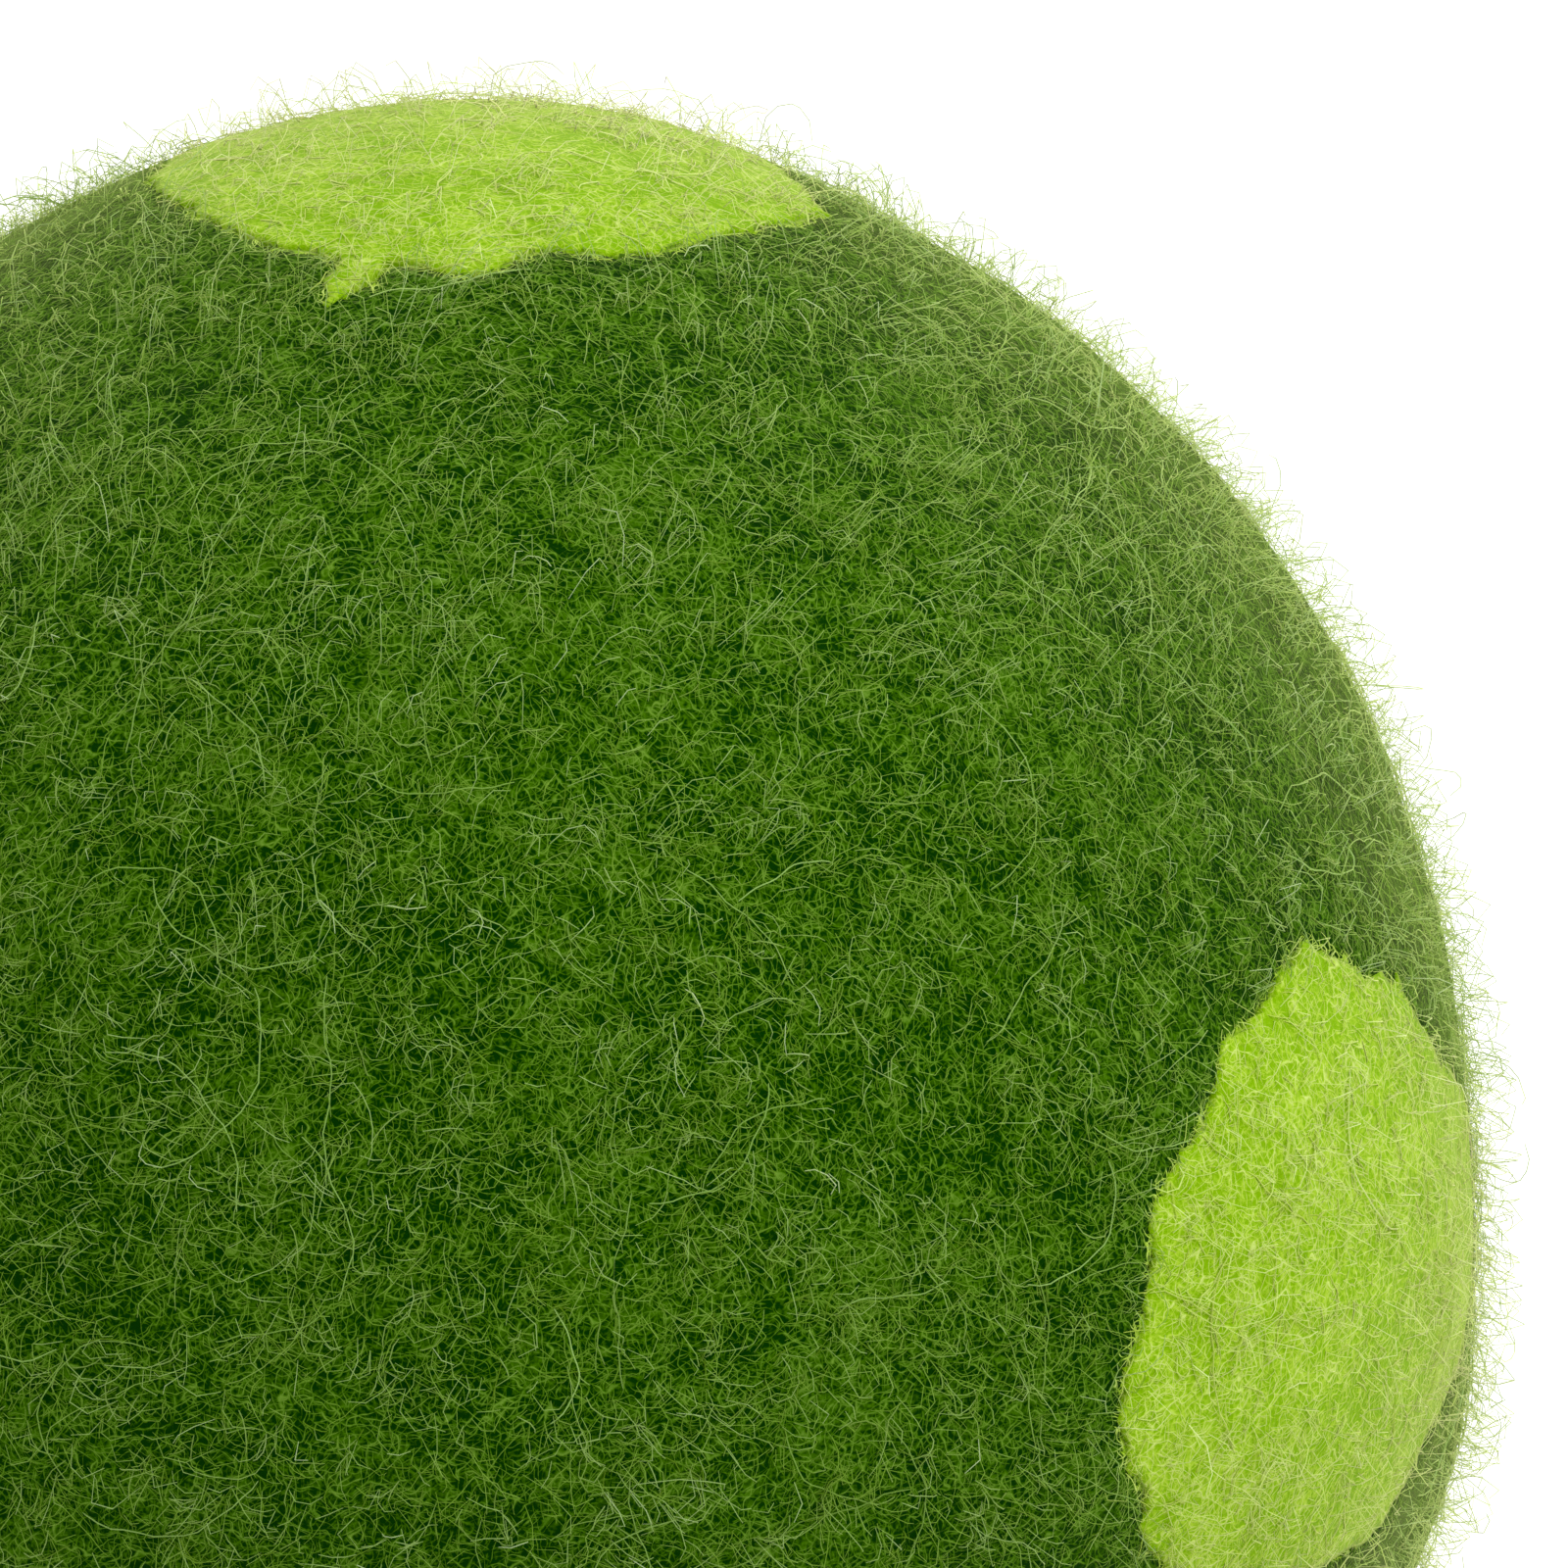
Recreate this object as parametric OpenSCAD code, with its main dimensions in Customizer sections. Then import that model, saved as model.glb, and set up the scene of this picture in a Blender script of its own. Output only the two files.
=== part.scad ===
// Felted wool rattle ball: a dark felt cover with hand-cut lime spots felted into it,
// over a core of undyed wool that holds a snap-together capsule of loose beads.
// Millimetres, +Z up, origin on the table under the ball's middle.

/* [Ball] */
// Radius of the dark felt ball between its spots
ball_r = 43.3; // [40:0.1:50]
// Thickness of the felted layer round the wool core
felt_t = 6; // [5:0.1:10]

/* [Spots] */
// Radius of a spot, before the scissors' wander
spot_r = 13.3; // [10:0.1:14.5]
// How far the scissors wander as a spot is cut
wander = 1; // [0:0.1:1.2]
// How deep a spot is felted in, below the surface of the ball
spot_depth = 2.2; // [1.5:0.1:3.5]
// How far the ball swells out at the middle of a spot
swell = 1.8; // [1:0.1:3]
// Angle from a spot's middle at which its swell runs out
swell_reach = 28; // [26:0.5:36]
// Diameter of the patch under the bottom spot that is pressed flat
foot_d = 14; // [10:0.5:18]

/* [Rattle capsule] */
// Outside diameter of the capsule
capsule_d = 36; // [34:0.5:48]
// Wall thickness of the capsule
capsule_wall = 1.8; // [1.6:0.1:2.6]
// Height of the base's spigot inside the cap
lip_h = 2.4; // [1.6:0.1:4]
// Radius of the snap bead round the spigot
snap_r = 0.25; // [0.15:0.05:0.4]

/* [Beads] */
// Diameter of a loose bead
bead_d = 4; // [3:0.1:4.5]
// Free space between neighbouring beads at rest
bead_gap = 0.4; // [0.2:0.1:1]
// Reach of the pile of beads from its middle, in bead spacings
pile_reach = 1.6; // [1.55:0.05:2]

/* [Clearances] */
// Between one layer of wool and the next, and round the capsule
layer_gap = 0.1; // [0.05:0.05:0.3]
// Round a spot in its pocket in the cover
spot_gap = 0.1; // [0.05:0.05:0.3]
// Between the capsule's spigot and its socket
snap_fit = 0.05; // [0.03:0.01:0.1]
// Between a resting bead and the wall of the capsule
rest_gap = 0.3; // [0.1:0.05:0.5]

/* [Hidden] */
$fn = 128;
spill = 1; // overshoot that gives every cut a clean face

dark_green = "#385f10";
lime_green = "#9abf3b";
undyed_wool = "#e9e1cf";
capsule_white = "#f1efe6";
bead_grey = "#b9bcc0";

// A swell is the cap of a smaller sphere, set off the ball's middle along the spot's axis
swell_top = ball_r + swell;
lens_off = (pow(swell_top, 2) - pow(ball_r, 2)) / (2 * (swell_top - ball_r * cos(swell_reach)));
lens_r = swell_top - lens_off;
foot_rise = lens_r - sqrt(pow(lens_r, 2) - pow(foot_d / 2, 2));
middle_z = swell_top - foot_rise;

// Scissor-cut outlines: corners as [heading, how many wanders the cut strays from spot_r]
cut_a = [
    [0, -0.4], [32, 0.4], [60, 0.8], [88, 0.6], [116, -0.1], [138, -0.1], [151, -0.7], [157, 4],
    [163, -0.6], [176, 0.2], [198, -1.5], [216, -0.8], [240, -0.7], [268, 1.5], [300, 0.3], [330, 0.5]
];
cut_b = [
    [12, 3.4], [28, 0.2], [49, 0.6], [60, -0.2], [79, 0.8], [114, -0.8], [124, -2], [147, -0.8],
    [156, -1.3], [188, 0.1], [217, 0.8], [240, 0.3], [268, -0.6], [292, 0.9], [310, 0.6], [330, 3], [352, 4.9]
];

// Each spot: its name, azimuth from the front towards +X, latitude, turn of its outline, outline
SPOTS = [
    ["spot_top", 90, 88, 0, cut_a],
    ["spot_bottom", 0, -90, 20, cut_b],
    ["spot_front_right", 55, 3, 0, cut_b],
    ["spot_back_right", 148, -4, 100, cut_a],
    ["spot_back_left", -132, 5, 200, cut_b],
    ["spot_front_left", -48, -3, 250, cut_a]
];

capsule_r = capsule_d / 2;
capsule_in = capsule_r - capsule_wall;
socket_r = capsule_r - capsule_wall / 2;
spigot_r = socket_r - snap_fit;
spigot_root = capsule_wall / 4; // how far the spigot is rooted in the base's wall

// Beads lie in a triangular pile on the capsule's floor, round the middle of one triangle
bead_pitch = bead_d + bead_gap;
bead_orbit = capsule_in - bead_d / 2 - rest_gap;
BEADS = [
    for (m = [-2 : 2], n = [-2 : 2])
        let (p = m * [1, 0] + n * [1 / 2, sqrt(3) / 2] - [1 / 2, sqrt(3) / 6])
            if (norm(p) < pile_reach) bead_pitch * p
];
function bead_name(i) = str("bead_", i < 9 ? "0" : "", i + 1);
function bead_drop(p) = sqrt(pow(bead_orbit, 2) - p * p);

// A full sphere about the ball's middle
module ball(r) translate([0, 0, middle_z]) sphere(r);

// Turns +Z to point out of the ball through a spot's middle
module through_spot(s) translate([0, 0, middle_z]) rotate([90 - s[2], 0, s[1]]) children();

// The sphere whose cap is the swell at a spot
module swell_lens(s) through_spot(s) translate([0, 0, lens_off]) sphere(lens_r);

// A spot's scissor-cut outline, run from the ball's middle out past its surface
module scissor_cut(s, grow)
    through_spot(s)
        linear_extrude(swell_top + spill)
            polygon([
                for (c = s[4])
                    (spot_r + c[1] * wander + grow) * [cos(c[0] + s[3]), sin(c[0] + s[3])]
            ]);

// Everything under the table top
module under_table()
    translate([-ball_r, -ball_r, -ball_r])
        cube([2 * ball_r, 2 * ball_r, ball_r]);

// Dark felt: a ball that swells at each spot, hollow for the core, with a pocket for each spot
module felt_cover()
    color(dark_green)
        difference() {
            union() {
                ball(ball_r);
                for (s = SPOTS) swell_lens(s);
            }
            for (s = SPOTS)
                difference() {
                    scissor_cut(s, spot_gap);
                    ball(ball_r - spot_depth - spot_gap);
                }
            ball(ball_r - felt_t);
        }

// Lime felt spot, domed with the swell; the one underneath is pressed flat by the table
module spot(s)
    color(lime_green)
        difference() {
            intersection() {
                swell_lens(s);
                scissor_cut(s, 0);
            }
            ball(ball_r - spot_depth);
            under_table();
        }

// Undyed carded wool, wound round the capsule
module wool_core()
    color(undyed_wool)
        difference() {
            ball(ball_r - felt_t - layer_gap);
            ball(capsule_r + layer_gap);
        }

// Lower half of the capsule, with a spigot and snap bead that stand up into the cap
module capsule_base()
    color(capsule_white)
        translate([0, 0, middle_z])
            rotate_extrude() {
                difference() {
                    intersection() {
                        circle(capsule_r);
                        translate([0, -capsule_r]) square(capsule_r);
                    }
                    circle(capsule_in);
                }
                translate([capsule_in, -spigot_root])
                    square([spigot_r - capsule_in, lip_h + spigot_root]);
                translate([spigot_r, lip_h / 2]) circle(snap_r);
            }

// Upper half of the capsule, recessed for the spigot and grooved for its snap bead
module capsule_cap()
    color(capsule_white)
        translate([0, 0, middle_z])
            rotate_extrude()
                difference() {
                    intersection() {
                        circle(capsule_r);
                        square(capsule_r);
                    }
                    circle(capsule_in);
                    square([socket_r, lip_h + snap_fit]);
                    translate([spigot_r, lip_h / 2]) circle(snap_r + snap_fit);
                }

// One loose bead, at rest on the floor of the capsule
module bead(p)
    color(bead_grey)
        translate([p[0], p[1], middle_z - bead_drop(p)])
            sphere(bead_d / 2);

felt_cover();
for (s = SPOTS)
    spot(s);
wool_core();
capsule_base();
capsule_cap();
for (i = [0 : len(BEADS) - 1])
    bead(BEADS[i]);
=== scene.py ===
import math

import bmesh
import bpy
import numpy as np
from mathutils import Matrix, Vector, noise
from mathutils.bvhtree import BVHTree


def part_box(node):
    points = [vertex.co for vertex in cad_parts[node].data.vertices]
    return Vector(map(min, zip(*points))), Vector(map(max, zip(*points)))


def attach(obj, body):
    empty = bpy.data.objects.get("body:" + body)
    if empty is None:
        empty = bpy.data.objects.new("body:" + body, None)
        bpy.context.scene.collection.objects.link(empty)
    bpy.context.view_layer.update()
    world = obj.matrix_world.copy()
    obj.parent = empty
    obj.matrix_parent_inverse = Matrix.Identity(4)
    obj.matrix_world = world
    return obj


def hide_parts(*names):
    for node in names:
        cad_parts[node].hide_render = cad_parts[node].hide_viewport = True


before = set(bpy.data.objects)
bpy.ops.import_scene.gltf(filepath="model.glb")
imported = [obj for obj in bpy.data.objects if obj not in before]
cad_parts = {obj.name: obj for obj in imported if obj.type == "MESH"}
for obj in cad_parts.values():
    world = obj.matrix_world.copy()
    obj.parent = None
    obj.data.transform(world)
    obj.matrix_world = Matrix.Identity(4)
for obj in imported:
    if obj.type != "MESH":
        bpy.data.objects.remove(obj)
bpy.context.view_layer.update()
MM = 0.001


# Rattle beads
# Loose steel shot, tumbled until its skin is dull and finely scratched. The beads hop about
# inside the capsule when the ball is shaken.
bead_nodes = sorted(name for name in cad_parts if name.startswith("bead_"))


def linear(hex_colour):
    """An sRGB hex colour as the linear colour that a shader socket takes."""
    parts = [int(hex_colour[i:i + 2], 16) / 255 for i in (1, 3, 5)]
    bent = [c / 12.92 if c <= 0.04045 else ((c + 0.055) / 1.055) ** 2.4 for c in parts]
    return (*bent, 1.0)


def add(tree, kind, links=None, **settings):
    """Adds one node with its settings; links gives each socket a value, or a node or socket to read."""
    node = tree.nodes.new(kind)
    for name, value in settings.items():
        setattr(node, name, value)
    for place, value in (links or {}).items():
        socket = node.inputs[place]
        if isinstance(value, bpy.types.Node):
            value = next(out for out in value.outputs if out.enabled)
        if isinstance(value, bpy.types.NodeSocket):
            tree.links.new(value, socket)
        else:
            socket.default_value = value
    return node


def new_material(name):
    """A material with a Principled shader, and Object coordinates counted in millimetres."""
    material = bpy.data.materials.new(name)
    material.use_nodes = True
    tree = material.node_tree
    tree.nodes.clear()
    shader = add(tree, "ShaderNodeBsdfPrincipled")
    add(tree, "ShaderNodeOutputMaterial", {"Surface": shader})
    place = add(tree, "ShaderNodeTexCoord").outputs["Object"]
    in_mm = add(tree, "ShaderNodeVectorMath", {0: place, "Scale": 1 / MM}, operation="SCALE")
    return material, tree, shader, in_mm


def steel_shot():
    """Tumbled carbon steel: a grey metal, dulled by fine scratches from knocking together."""
    scratch_mm, stain_mm = 0.25, 1.6
    material, tree, shader, in_mm = new_material("tumbled_steel_shot")
    scratch = add(tree, "ShaderNodeTexNoise", {"Vector": in_mm, "Scale": 1 / scratch_mm, "Detail": 4.0})
    stain = add(tree, "ShaderNodeTexNoise", {"Vector": in_mm, "Scale": 1 / stain_mm, "Detail": 2.0})
    tone = add(tree, "ShaderNodeValToRGB", {"Fac": stain})
    tone.color_ramp.elements[0].color = linear("#8d9094")
    tone.color_ramp.elements[1].color = linear("#c9ccd0")
    dull = add(tree, "ShaderNodeMapRange", {"Value": scratch, "To Min": 0.22, "To Max": 0.45})
    bump = add(tree, "ShaderNodeBump", {"Height": scratch, "Strength": 0.2, "Distance": 0.02 * MM})
    tree.links.new(tone.outputs[0], shader.inputs["Base Color"])
    tree.links.new(dull.outputs[0], shader.inputs["Roughness"])
    tree.links.new(bump.outputs[0], shader.inputs["Normal"])
    shader.inputs["Metallic"].default_value = 1.0
    return material


shot = steel_shot()
for name in bead_nodes:
    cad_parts[name].data.materials.clear()
    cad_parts[name].data.materials.append(shot)


# Rattle capsule
# Two injection-moulded polypropylene halves. The base's spigot snaps into the cap and keeps the
# beads loose and out of the wool. The shape is the CAD's own, finished here as satin moulded plastic.
def moulded_plastic():
    """Polypropylene from a lightly spark-eroded mould: milky white, satin, with faint flow marks."""
    grain_mm, flow_mm = 0.12, 6.0
    material, tree, shader, in_mm = new_material("satin_moulded_polypropylene")
    grain = add(tree, "ShaderNodeTexNoise", {"Vector": in_mm, "Scale": 1 / grain_mm, "Detail": 2.0})
    flow = add(tree, "ShaderNodeTexNoise", {"Vector": in_mm, "Scale": 1 / flow_mm, "Detail": 3.0,
                                            "Distortion": 0.8})
    tone = add(tree, "ShaderNodeValToRGB", {"Fac": flow})
    tone.color_ramp.elements[0].color = linear("#e6e3d8")
    tone.color_ramp.elements[1].color = linear("#f4f2ea")
    satin = add(tree, "ShaderNodeMapRange", {"Value": grain, "To Min": 0.38, "To Max": 0.52})
    bump = add(tree, "ShaderNodeBump", {"Height": grain, "Strength": 0.15, "Distance": 0.02 * MM})
    tree.links.new(tone.outputs[0], shader.inputs["Base Color"])
    tree.links.new(satin.outputs[0], shader.inputs["Roughness"])
    tree.links.new(bump.outputs[0], shader.inputs["Normal"])
    shader.inputs["IOR"].default_value = 1.49
    shader.inputs["Subsurface Weight"].default_value = 0.2
    shader.inputs["Subsurface Radius"].default_value = (1.0 * MM, 0.9 * MM, 0.8 * MM)
    shader.inputs["Subsurface Scale"].default_value = 1.0
    return material


capsule_plastic = moulded_plastic()
for name in ("capsule_base", "capsule_cap"):
    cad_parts[name].data.materials.clear()
    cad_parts[name].data.materials.append(capsule_plastic)


# Wool core
# Undyed carded wool, wound round the capsule in crossing straps until it is nearly full size.
# It is soft, lumpy and hollow where the capsule sits.
core_low, core_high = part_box("wool_core")
middle = (core_low + core_high) / 2
core_r = (core_high.z - core_low.z) / 2
capsule_low, capsule_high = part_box("capsule_base")
layer_gap = 0.1 * MM  # left between one layer of the ball and the next
core_hollow_r = (capsule_high.x - capsule_low.x) / 2 + layer_gap
core_detail = 6
strap_count, strap_seed = 26, 11
strap_w, strap_rise = 9 * MM, 0.7 * MM
first_strap, strap_gain = 0.6, 0.016  # share of that rise which the first strap has, and each later one adds
strap_settle = 0.985  # what is left of a strap's rise once the next is wound over it


def unit_sphere(subdivisions):
    """The directions and triangles of an evenly divided sphere."""
    bm = bmesh.new()
    bmesh.ops.create_icosphere(bm, subdivisions=subdivisions, radius=1.0)
    ways = np.array([v.co[:] for v in bm.verts])
    faces = np.array([[v.index for v in f.verts] for f in bm.faces])
    bm.free()
    return ways / np.linalg.norm(ways, axis=1)[:, None], faces


def make_piece(name, points, faces, material):
    """An object with this mesh, smooth shaded, at the origin."""
    mesh = bpy.data.meshes.new(name)
    mesh.from_pydata([tuple(p) for p in points], [], [tuple(f) for f in faces])
    mesh.polygons.foreach_set("use_smooth", [True] * len(mesh.polygons))
    mesh.materials.append(material)
    mesh.update()
    piece = bpy.data.objects.new(name, mesh)
    bpy.context.scene.collection.objects.link(piece)
    return piece


def mark(piece, name, values):
    """Stores a number at each point of a piece's mesh under this name."""
    layer = piece.data.attributes.new(name, "FLOAT", "POINT")
    layer.data.foreach_set("value", np.asarray(values, np.float32))


def smooth_step(low, high, value):
    """Runs smoothly from 0 at low to 1 at high."""
    share = np.clip((value - low) / (high - low), 0, 1)
    return share * share * (3 - 2 * share)


def carded_wool():
    """Undyed carded wool: creamy, matt, with long combed strands and a soft sheen."""
    strand_mm, strap_mm = 0.35, 7.0
    stripe_gap = 0.31  # between the stripes of a wave texture at scale 1
    material, tree, shader, in_mm = new_material("carded_undyed_wool")
    bent = add(tree, "ShaderNodeTexNoise", {"Vector": in_mm, "Scale": 1 / strap_mm, "Detail": 1.0})
    strand = add(tree, "ShaderNodeTexWave", {"Vector": in_mm, "Scale": stripe_gap / strand_mm,
                                             "Distortion": 14.0, "Detail": 3.0, "Detail Scale": 0.6})
    both = add(tree, "ShaderNodeMath", {0: strand, 1: bent}, operation="MULTIPLY")
    tone = add(tree, "ShaderNodeValToRGB", {"Fac": both})
    tone.color_ramp.elements[0].color = linear("#b9ab8c")
    tone.color_ramp.elements[1].color = linear("#f2ecdd")
    tone.color_ramp.elements[1].position = 0.6
    bump = add(tree, "ShaderNodeBump", {"Height": strand, "Strength": 0.6, "Distance": 0.2 * MM})
    tree.links.new(tone.outputs[0], shader.inputs["Base Color"])
    tree.links.new(bump.outputs[0], shader.inputs["Normal"])
    shader.inputs["Roughness"].default_value = 0.9
    shader.inputs["Specular IOR Level"].default_value = 0.2
    shader.inputs["Sheen Weight"].default_value = 0.4
    shader.inputs["Sheen Roughness"].default_value = 0.6
    return material


def wound_core():
    """A lumpy shell: straps of wool on great circles outside, a plain hollow for the capsule inside."""
    ways, faces = unit_sphere(core_detail)
    rng = np.random.default_rng(strap_seed)
    rise = np.zeros(len(ways))
    for turn in range(strap_count):
        axis = rng.normal(size=3)
        axis /= np.linalg.norm(axis)
        off_middle = np.abs(ways @ axis) * core_r
        strap = smooth_step(strap_w / 2, strap_w / 5, off_middle) * (first_strap + strap_gain * turn)
        rise = np.maximum(rise * strap_settle, strap)
    outer = ways * (core_r - strap_rise + strap_rise * np.clip(rise, 0, 1))[:, None]
    inner = ways * core_hollow_r
    points = np.vstack([outer, inner]) + np.array(middle)
    both_walls = np.vstack([faces, faces[:, ::-1] + len(ways)])
    return make_piece("wound_wool_core", points, both_walls, carded_wool())


core = wound_core()
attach(core, "ball")
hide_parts("wool_core")


# Felt form
# The surface that all the felt lies on: the CAD ball with its swells, rubbed smooth where a swell
# or a spot begins, and a little out of round, as a ball felted between two hands is.
# It is only a guide. The cover, the spots and every fibre take their place from it.
spot_nodes = ["spot_top", "spot_bottom", "spot_front_right", "spot_back_right",
              "spot_back_left", "spot_front_left"]
cover_low, cover_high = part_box("felt_cover")
ball_r = (cover_high.x - cover_low.x) / 2
pile = 0.3 * MM  # how far the matted fibres stand above the form
form_detail = 7
rub_passes, edge_passes = 24, 2  # how often the ball, and the edge of a spot, is rubbed over
# Hand-felted fullness: azimuth from the front towards +X, latitude, height in mm, width in degrees
fullness = [(90, -25, 2.1, 13), (-150, -22, 1.2, 18), (20, -40, 0.9, 15), (-95, 32, 0.6, 20),
            (170, 35, 0.8, 18), (-148, 66, -0.5, 11), (122, 57, 0.3, 9), (102, 32, 0.2, 9)]
lump_mm = [(16, 0.28), (6, 0.12)]  # size and height of the uneven felt
stray_mm = (1.4, 0.5)  # size and reach of the jags in a spot's edge
stray_shifts = [(3.7, 0, 0), (0, 5.3, 0), (0, 0, 7.9)]  # keep the three directions of a jag apart


def way_of(azimuth, latitude):
    """The direction at an azimuth from the front towards +X and a latitude, in degrees."""
    a, b = math.radians(azimuth), math.radians(latitude)
    return np.array([math.sin(a) * math.cos(b), -math.cos(a) * math.cos(b), math.sin(b)])


def cad_tree(name):
    """A search tree over one CAD node's triangles."""
    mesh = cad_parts[name].data
    mesh.calc_loop_triangles()
    return BVHTree.FromPolygons([v.co.copy() for v in mesh.vertices],
                                [tuple(t.vertices) for t in mesh.loop_triangles])


def strayed(way):
    """A direction moved a little, as felting draws a cut edge out of line by up to stray_mm."""
    place = Vector(way) * (ball_r / MM / stray_mm[0])
    pull = Vector([noise.noise(place + Vector(shift)) for shift in stray_shifts])
    return Vector(way) + pull * (stray_mm[1] * MM / ball_r)


def surface_radius(tree, way):
    """How far from the ball's middle the CAD surface lies this way, or 0 where the node isn't."""
    far = 2 * ball_r
    hit = tree.ray_cast(middle + Vector(way) * far, -Vector(way), far)
    return 0.0 if hit[0] is None else far - hit[3]


def rubbed(values, pairs, passes):
    """Values at a mesh's points, each drawn half way to its neighbours' mean, again and again."""
    count = np.bincount(pairs.ravel(), minlength=len(values))
    for _ in range(passes):
        total = np.bincount(pairs[:, 0], values[pairs[:, 1]], len(values))
        total += np.bincount(pairs[:, 1], values[pairs[:, 0]], len(values))
        values = (values + total / count) / 2
    return values


def sides_of(faces):
    """The three sides of every triangle, as pairs of points in the order that they run."""
    return np.vstack([faces[:, [0, 1]], faces[:, [1, 2]], faces[:, [2, 0]]])


form_ways, form_faces = unit_sphere(form_detail)
form_pairs = np.unique(np.sort(sides_of(form_faces), axis=1), axis=0)
cover_tree = cad_tree("felt_cover")
form_reach = np.array([surface_radius(cover_tree, w) for w in form_ways])
stray_ways = [strayed(w) for w in form_ways]
stray_reach = np.array([surface_radius(cover_tree, w) for w in stray_ways])
spot_share = {}
for name in spot_nodes:
    tree = cad_tree(name)
    form_reach = np.maximum(form_reach, [surface_radius(tree, w) for w in form_ways])
    inside = np.array([surface_radius(tree, w) for w in stray_ways]) > stray_reach
    spot_share[name] = rubbed(inside.astype(float), form_pairs, edge_passes)
form_reach = rubbed(form_reach, form_pairs, rub_passes)
for azimuth, latitude, height, width in fullness:
    off = np.degrees(np.arccos(np.clip(form_ways @ way_of(azimuth, latitude), -1, 1)))
    form_reach += height * MM * np.exp(-(off / width) ** 2 / 2)
for size, height in lump_mm:
    lumps = [noise.noise(Vector(w) * (ball_r / MM / size)) for w in form_ways]
    form_reach += height * MM * np.array(lumps)
form_points = form_ways * (form_reach - pile)[:, None] + np.array(middle)
form_points[:, 2] = np.maximum(form_points[:, 2], pile)
cover_share = 1 - np.sum([spot_share[n] for n in spot_nodes], axis=0)


# Felt cover
# Dark green wool, wet-felted over the core into a dense skin about 6 mm thick. The skin itself is
# modelled as a shell, and the loose ends of its fibres lie and curl over it in layers.
spot_tuck = 1.2 * MM  # how far the cover's surface drops away under a spot
tuck_from = 0.7  # how much of the ground is the spot's where that drop begins
felt_t = ball_r - core_r - layer_gap


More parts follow.
